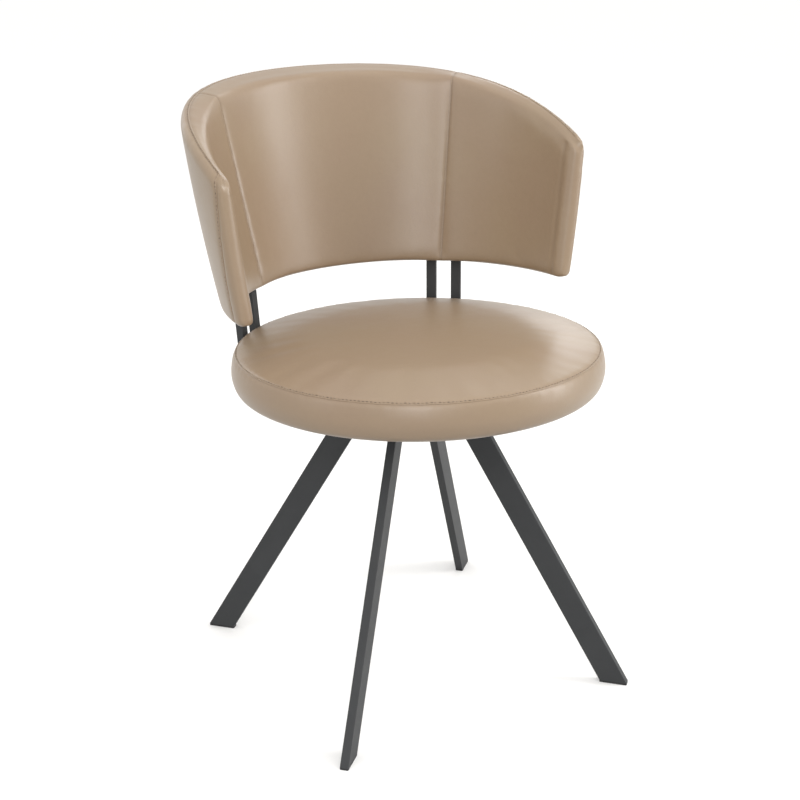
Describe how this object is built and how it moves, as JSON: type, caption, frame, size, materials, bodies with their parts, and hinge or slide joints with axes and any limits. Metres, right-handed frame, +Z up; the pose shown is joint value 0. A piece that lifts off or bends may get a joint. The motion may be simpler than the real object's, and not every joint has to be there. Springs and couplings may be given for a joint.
{
  "type": "swivel dining chair",
  "caption": "Round-cushioned dining chair that turns on a plate swivel, with splayed flat-bar legs and a padded wrap-around back carried on flat bars.",
  "frame": {"origin": "on the floor, on the swivel axis in the middle of the four legs", "axes": "+Z up; the chair faces -Y, so its back is at +Y and the sitter's right hand is at -X"},
  "size_m": [0.524, 0.5679, 0.7675],
  "materials": {
    "powder_coat": "satin charcoal powder coat",
    "glide_plastic": "matte",
    "zinc_steel": "bright zinc plate",
    "bearing_steel": "polished",
    "cage_nylon": "natural nylon",
    "upholstery": "smooth satin champagne",
    "plywood": "raw sanded",
    "foam": "open-cell foam",
    "dust_cloth": "matt black non-woven"
  },
  "bodies": {
    "base": {"base_bolts": "zinc_steel", "base_nuts": "zinc_steel", "base_plate": "powder_coat", "foot_glide_front_left": "glide_plastic", "foot_glide_front_right": "glide_plastic", "foot_glide_rear_left": "glide_plastic", "foot_glide_rear_right": "glide_plastic", "leg_front_left": "powder_coat", "leg_front_right": "powder_coat", "leg_rear_left": "powder_coat", "leg_rear_right": "powder_coat", "leg_weld_beads": "powder_coat", "swivel_lower_plate": "zinc_steel", "swivel_rivet": "zinc_steel", "swivel_washer": "zinc_steel"},
    "ball_cage": {"swivel_balls": "bearing_steel", "swivel_ball_cage": "cage_nylon"},
    "seat": {"back_bar_left_inner": "powder_coat", "back_bar_left_outer": "powder_coat", "back_bar_right_inner": "powder_coat", "back_bar_right_outer": "powder_coat", "back_bottom_cover": "upholstery", "back_end_left": "upholstery", "back_end_right": "upholstery", "back_front_foam": "foam", "back_outer_cover": "upholstery", "back_panel_centre": "upholstery", "back_panel_left": "upholstery", "back_panel_right": "upholstery", "back_rear_foam": "foam", "back_screws": "zinc_steel", "back_shell": "plywood", "back_tee_nuts": "zinc_steel", "dust_cover_staples": "zinc_steel", "front_tilt_spacer": "zinc_steel", "left_bar_tie": "powder_coat", "mount_bolts": "zinc_steel", "mount_nuts": "zinc_steel", "rear_tilt_spacer": "zinc_steel", "right_bar_tie": "powder_coat", "seat_board": "plywood", "seat_dust_cover": "dust_cloth", "seat_foam": "foam", "seat_front_crossbar": "powder_coat", "seat_mount_plate": "powder_coat", "seat_screws": "zinc_steel", "seat_side_band": "upholstery", "seat_tee_nuts": "zinc_steel", "seat_top_cover": "upholstery", "side_tilt_spacers": "zinc_steel", "swivel_upper_plate": "zinc_steel"}
  },
  "joints": [
    {"name": "seat_swivel", "type": "hinge", "parent": "base", "child": "seat", "pos_m": [0, 0, 0.374], "axis": [0, 0, 1], "continuous": true},
    {"name": "cage_turn", "type": "hinge", "parent": "base", "child": "ball_cage", "pos_m": [0, 0, 0.374], "axis": [0, 0, 1], "continuous": true}
  ],
  "couplings": [
    {"joint": "cage_turn", "follows": "seat_swivel", "ratio": 0.5}
  ]
}
